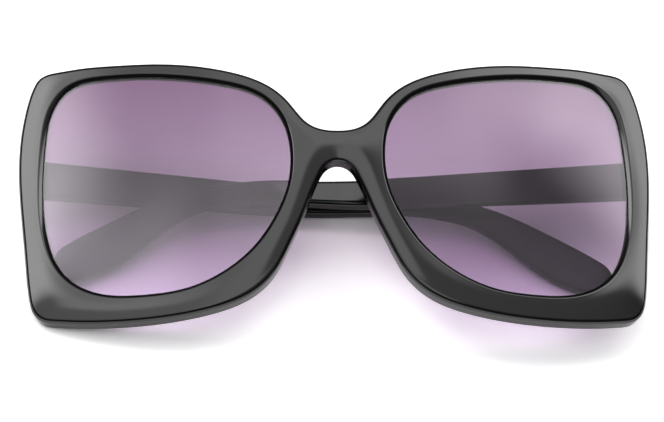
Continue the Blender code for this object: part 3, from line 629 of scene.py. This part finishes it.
def temple_grid():
    """The section carried along the path. The butt's edge is a quarter circle, and at the tip
    the height shrinks as the cosine of an angle whose sine is the share of the tip passed."""
    tip_start = 1 - TEMPLE_SHARES[-1][3] * TEMPLE_HEIGHT / 2 / TEMPLE_REACH
    turn = np.linspace(0.0, math.pi / 2, TIP_STEPS + 1)[1:]
    edge = np.linspace(0.0, math.pi / 2, BUTT_EDGE_STEPS + 1)
    butt_cut = np.concatenate([
        [TEMPLE_THICKNESS / 2], BUTT_EDGE_RADIUS * (1 - np.sin(edge)),
    ])
    butt_along = np.concatenate([[0.0], BUTT_EDGE_RADIUS * (1 - np.cos(edge))])
    shares = np.concatenate([
        butt_along / TEMPLE_REACH,
        np.linspace(2 * BUTT_EDGE_RADIUS / TEMPLE_REACH, tip_start, TEMPLE_STEPS),
        tip_start + np.sin(turn) * (1 - tip_start),
    ])
    cut = np.concatenate([butt_cut, np.zeros(TEMPLE_STEPS + TIP_STEPS)])
    rounding = np.concatenate([np.ones(len(butt_cut) + TEMPLE_STEPS), np.cos(turn)])
    path = temple_path(shares)
    ahead = temple_path(shares + SLOPE_STEP)[:, :3] - temple_path(shares - SLOPE_STEP)[:, :3]
    ahead /= np.linalg.norm(ahead, axis=1)[:, None]
    across = np.column_stack([-ahead[:, 1], ahead[:, 0], np.zeros(len(ahead))])
    across /= np.linalg.norm(across, axis=1)[:, None]
    up = np.cross(ahead, across)
    slim = TIP_THICKNESS_SHARE + (1 - TIP_THICKNESS_SHARE) * rounding
    radius = np.maximum(TEMPLE_EDGE_RADIUS * rounding * slim - cut, 0.0)
    section = rounded_sections(
        np.maximum(path[:, 4] * slim - 2 * cut, 0.0),
        np.maximum(path[:, 3] * rounding - 2 * cut, 0.0), radius,
    )
    section[0] = 0.0
    places = section[..., :1] * across[:, None] + section[..., 1:] * up[:, None]
    return places + path[:, None, :3]


seat = Matrix(FRONT_AXES) @ Matrix.Rotation(-math.radians(PANTOSCOPIC_TILT), 3, "X")
for side, sign in (("right", 1), ("left", -1)):
    fold = np.array(seat @ Matrix.Rotation(math.radians(FOLD_TURNS[side]), 3, "Z"))
    places = (temple_grid() * [sign, 1, 1]) @ fold.T + PIN_PLACES[side]
    temple = ringed_surface(
        f"temple_{side}_piece", places, f"{side}_temple",
    )
    temple.data.materials.append(black_acetate)
    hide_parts(f"temple_{side}")

# A block of the same acetate is glued to the back of the front outside each hinge. The open
# temple's butt comes up to it, which stops the temple square to the front.

BLOCK_WIDTH = 0.00098
BLOCK_REACH = 0.00464
BLOCK_HEIGHT = 0.0094
BLOCK_BACK = 0.00102
BLOCK_EDGE_RADIUS = 0.0003
BLOCK_EDGE_STEPS = 6


def block_grid():
    """A box with round edges, from its inner side outwards: near both sides the section draws
    in as a quarter circle runs, and it ends in a point in the middle of each."""
    turn = np.linspace(0.0, math.pi / 2, BLOCK_EDGE_STEPS + 1)
    cut = np.concatenate([[BLOCK_REACH / 2], BLOCK_EDGE_RADIUS * (1 - np.sin(turn))])
    along = np.concatenate([[0.0], BLOCK_EDGE_RADIUS * (1 - np.cos(turn))])
    cut = np.concatenate([cut, cut[::-1]])
    along = np.concatenate([along, BLOCK_WIDTH - along[::-1]])
    section = rounded_sections(
        np.maximum(BLOCK_REACH - 2 * cut, 0.0), np.maximum(BLOCK_HEIGHT - 2 * cut, 0.0),
        np.maximum(BLOCK_EDGE_RADIUS - cut, 0.0),
    )
    section[[0, -1]] = 0.0
    x = np.broadcast_to(BARREL_REACH + along[:, None], section.shape[:2])
    return np.stack([x, section[..., 0] + BLOCK_BACK - BLOCK_REACH / 2, section[..., 1]], -1)


for side, sign in (("right", 1), ("left", -1)):
    places = (block_grid() * [sign, 1, 1]) @ np.array(seat).T + PIN_PLACES[side]
    block = ringed_surface(f"stop_block_{side}", places, "front")
    block.data.materials.append(black_acetate)

# The table is smooth white card that runs far past the picture's edges. It shows as white and
# keeps the soft shadows.

TABLE_HALF = 3


def white_card(given, shown):
    """Matt white card. It lights the object as a plain white does. The camera, also through
    the lenses and in the gloss, sees it brighter, so that it is white but in the shadows."""
    made, tree, output = new_material("white_card")
    rays = add(tree, "ShaderNodeLightPath").outputs
    direct = rays["Is Camera Ray"]
    for kind in ("Is Transmission Ray", "Is Glossy Ray"):
        direct = add(
            tree, "ShaderNodeMath", {"operation": "MAXIMUM"}, in_0=direct, in_1=rays[kind],
        ).outputs[0]
    level = add(tree, "ShaderNodeMapRange", Value=direct, To_Min=given, To_Max=shown)
    shader = add(tree, "ShaderNodeBsdfDiffuse", Color=level.outputs["Result"])
    tree.links.new(shader.outputs[0], output.inputs["Surface"])
    return made


mesh = bpy.data.meshes.new("table")
corners = [(x * TABLE_HALF, y * TABLE_HALF, 0) for x, y in ((-1, -1), (1, -1), (1, 1), (-1, 1))]
mesh.from_pydata(corners, [], [(0, 1, 2, 3)])
table = bpy.data.objects.new("table", mesh)
bpy.context.scene.collection.objects.link(table)
table.data.materials.append(white_card(given=0.8, shown=1.4))

# Six soft panels hang just under 3 m above the table. Broad dim ones light it from the left
# and the middle, a small one puts a haze on the left lens, and a row of brighter ones at the
# back gives the gloss along the top.


def panel(name, height, low, high, radiance, fades):
    """A lamp that faces down from this height, between two corners, of this radiance. It
    fades as a smooth step over shares of its width and depth, from its four edges inwards."""
    size = np.subtract(high, low)
    lamp = bpy.data.lights.new(name, "AREA")
    lamp.shape = "RECTANGLE"
    lamp.size, lamp.size_y = size
    lamp.energy = radiance * math.pi * size[0] * size[1]
    lamp.use_nodes = True
    tree = lamp.node_tree
    tree.nodes.clear()
    spot = add(tree, "ShaderNodeNewGeometry").outputs["Parametric"]
    axes = add(tree, "ShaderNodeSeparateXYZ", Vector=spot).outputs
    level = 1.0
    for axis, (first, last) in zip("XY", fades):
        rise = add(
            tree, "ShaderNodeMapRange", {"interpolation_type": "SMOOTHSTEP"},
            Value=axes[axis], From_Max=first,
        )
        drop = add(
            tree, "ShaderNodeMapRange", {"interpolation_type": "SMOOTHSTEP"},
            Value=axes[axis], From_Min=1 - last, From_Max=1.0, To_Min=1.0, To_Max=0.0,
        )
        for mask in (rise, drop):
            level = add(
                tree, "ShaderNodeMath", {"operation": "MULTIPLY"},
                in_0=mask.outputs["Result"], in_1=level,
            ).outputs[0]
    glow = add(tree, "ShaderNodeEmission", Color=(1.0, 1.0, 1.0, 1.0), Strength=level)
    add(tree, "ShaderNodeOutputLight", Surface=glow.outputs[0])
    made = bpy.data.objects.new(name, lamp)
    made.location = (*(np.add(low, high) / 2), height)
    bpy.context.scene.collection.objects.link(made)


panel(
    "left_panel", height=3.0, low=(-4.2, -3.6), high=(0.12, 1.9), radiance=1.1,
    fades=((0.1, 0.04), (0.1, 0.1)),
)
panel(
    "back_left_panel", height=2.95, low=(-4.4, 0.35), high=(-1.1, 1.8), radiance=5.5,
    fades=((0.1, 0.3), (0.3, 0.2)),
)
panel(
    "haze_panel", height=2.9, low=(-2.0, -0.1), high=(-0.5, 0.75), radiance=1.6,
    fades=((0.3, 0.4), (0.3, 0.5)),
)
panel(
    "middle_panel", height=2.85, low=(-0.7, -2.6), high=(0.12, 1.8), radiance=0.5,
    fades=((0.3, 0.15), (0.1, 0.1)),
)
panel(
    "back_middle_panel", height=2.8, low=(-0.1, 0.35), high=(1.1, 1.7), radiance=1.9,
    fades=((0.2, 0.4), (0.3, 0.1)),
)
panel(
    "back_right_panel", height=2.75, low=(0.3, 0.6), high=(4.0, 1.6), radiance=5.5,
    fades=((0.3, 0.1), (0.3, 0.15)),
)

# The room is an even grey to matt surfaces. In the gloss and the lenses it is nearly black at
# its foot and pale from about 37 degrees up.

ROOM_FOOT = 0.05
ROOM_TOP = 0.85
ROOM_TOP_FROM = 0.6
ROOM_EVEN = 0.5

world = bpy.data.worlds.new("dim_studio")
bpy.context.scene.world = world
world.use_nodes = True
tree = world.node_tree
tree.nodes.clear()
direction = add(tree, "ShaderNodeTexCoord").outputs["Generated"]
height = add(tree, "ShaderNodeSeparateXYZ", Vector=direction).outputs["Z"]
mirrored = add(
    tree, "ShaderNodeMapRange", Value=height,
    From_Min=ROOM_TOP_FROM, To_Min=ROOM_FOOT, To_Max=ROOM_TOP,
)
even = add(tree, "ShaderNodeLightPath").outputs["Is Diffuse Ray"]
strength = add(
    tree, "ShaderNodeMix", Factor=even, A=mirrored.outputs["Result"], B=ROOM_EVEN,
)
background = add(
    tree, "ShaderNodeBackground", Color=(1.0, 1.0, 1.0, 1.0),
    Strength=strength.outputs["Result"],
)
add(tree, "ShaderNodeOutputWorld", Surface=background.outputs[0])

# The camera looks down at about 45 degrees from in front, from 0.69 m away. Its place and its
# axes, as rows, are in the front's own axes.

CAMERA_PLACE = np.array([-0.038928, -0.609434, -0.320693])
CAMERA_AXES = np.array([
    (0.99852744, -0.04910067, -0.02306698),
    (-0.00177649, -0.45457266, 0.89070789),
    (-0.05421997, -0.88935528, -0.4539905),
])
FOCAL_LENGTH_PIXELS = 2975
PICTURE_WIDTH_PIXELS = 664
SENSOR_WIDTH = 36.0

camera_data = bpy.data.cameras.new("camera")
camera_data.sensor_width = SENSOR_WIDTH
camera_data.lens = FOCAL_LENGTH_PIXELS / PICTURE_WIDTH_PIXELS * SENSOR_WIDTH
camera_data.clip_start, camera_data.clip_end = 0.01, 20.0
camera = bpy.data.objects.new("camera", camera_data)
axes = FRONT_AXES @ CAMERA_AXES.T
place = FRONT_AXES @ CAMERA_PLACE + FRONT_PLACE
camera.matrix_world = Matrix.Translation(place) @ Matrix(axes).to_4x4()
bpy.context.scene.collection.objects.link(camera)
bpy.context.scene.camera = camera
bpy.context.scene.view_settings.view_transform = "Standard"
